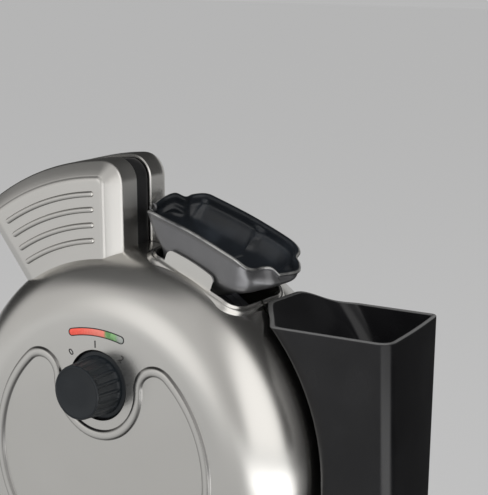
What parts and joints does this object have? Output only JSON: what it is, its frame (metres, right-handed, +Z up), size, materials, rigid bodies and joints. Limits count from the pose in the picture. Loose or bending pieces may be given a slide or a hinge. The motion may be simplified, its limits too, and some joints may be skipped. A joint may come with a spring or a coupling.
{
  "type": "vertical waffle maker",
  "caption": "Upright waffle maker: two round steel halves on edge, fan-shaped handle, batter funnel, dial, lamps, side caddy and stand; the front half folds down.",
  "frame": {"origin": "middle of the footprint, on the counter that the feet stand on", "axes": "+Z up, -Y towards the user (the face with the dial), +X to the right, where the caddy stands"},
  "size_m": [0.296, 0.167, 0.356],
  "materials": {
    "steel": "satin champagne",
    "black_plastic": "fine satin",
    "gloss_black": "glossy",
    "knob_blue_black": "satin",
    "non_stick": "satin non-stick coating",
    "cast_plate": "non-stick coating on cast aluminium",
    "tube": "heat-tinted",
    "shield": "bare sheet",
    "steel_bright": "bright",
    "zinc": "plated",
    "rubber": "matt",
    "lens": "clear, smoked at the end",
    "red_lamp": "translucent red",
    "green_lamp": "translucent green",
    "ceramic": "unglazed"
  },
  "bodies": {
    "stand": {"rear_shell": "steel", "rear_handle_shell": "steel", "rear_grip_liner": "black_plastic", "rear_funnel": "non_stick", "rear_waffle_plate": "cast_plate", "rear_heating_element": "tube", "rear_heat_shield": "shield", "hinge_pin": "steel_bright", "base_housing": "gloss_black", "base_bottom_cover": "black_plastic", "rubber_feet": "rubber", "stop_pads": "rubber", "cord_gland": "rubber", "cup_caddy": "gloss_black", "latch_bracket": "steel_bright", "latch_pin": "steel_bright", "terminal_block": "ceramic", "thermal_fuse": "steel_bright", "cover_screws": "zinc", "plate_screws_rear": "zinc", "caddy_screws": "zinc"},
    "front_half": {"front_shell": "steel", "front_handle_shell": "steel", "front_grip_liner": "black_plastic", "front_funnel": "non_stick", "front_waffle_plate": "cast_plate", "front_heating_element": "tube", "front_heat_shield": "shield", "thermostat": "zinc", "dial_carrier": "black_plastic", "heating_lamp": "red_lamp", "ready_lamp": "green_lamp", "indicator_window": "lens", "hinge_bracket": "zinc", "latch_catch": "steel_bright", "plate_screws_front": "zinc"},
    "knob": {"control_knob": "knob_blue_black", "thermostat_spindle": "zinc"},
    "latch": {"latch_hasp": "steel_bright"}
  },
  "joints": [
    {"name": "front_fold", "type": "hinge", "parent": "stand", "child": "front_half", "pos_m": [-0.028, -0.0135, 0.058], "axis": [1, 0, 0], "range_deg": [0, 90]},
    {"name": "knob_turn", "type": "hinge", "parent": "front_half", "child": "knob", "pos_m": [-0.028, -0.0515, 0.2316], "axis": [0, -1, 0], "range_deg": [-46, 46]},
    {"name": "latch_swing", "type": "hinge", "parent": "stand", "child": "latch", "pos_m": [-0.12282, 0.0155, 0.29973], "axis": [-0.6157, 0, 0.788], "range_deg": [0, 180]}
  ]
}
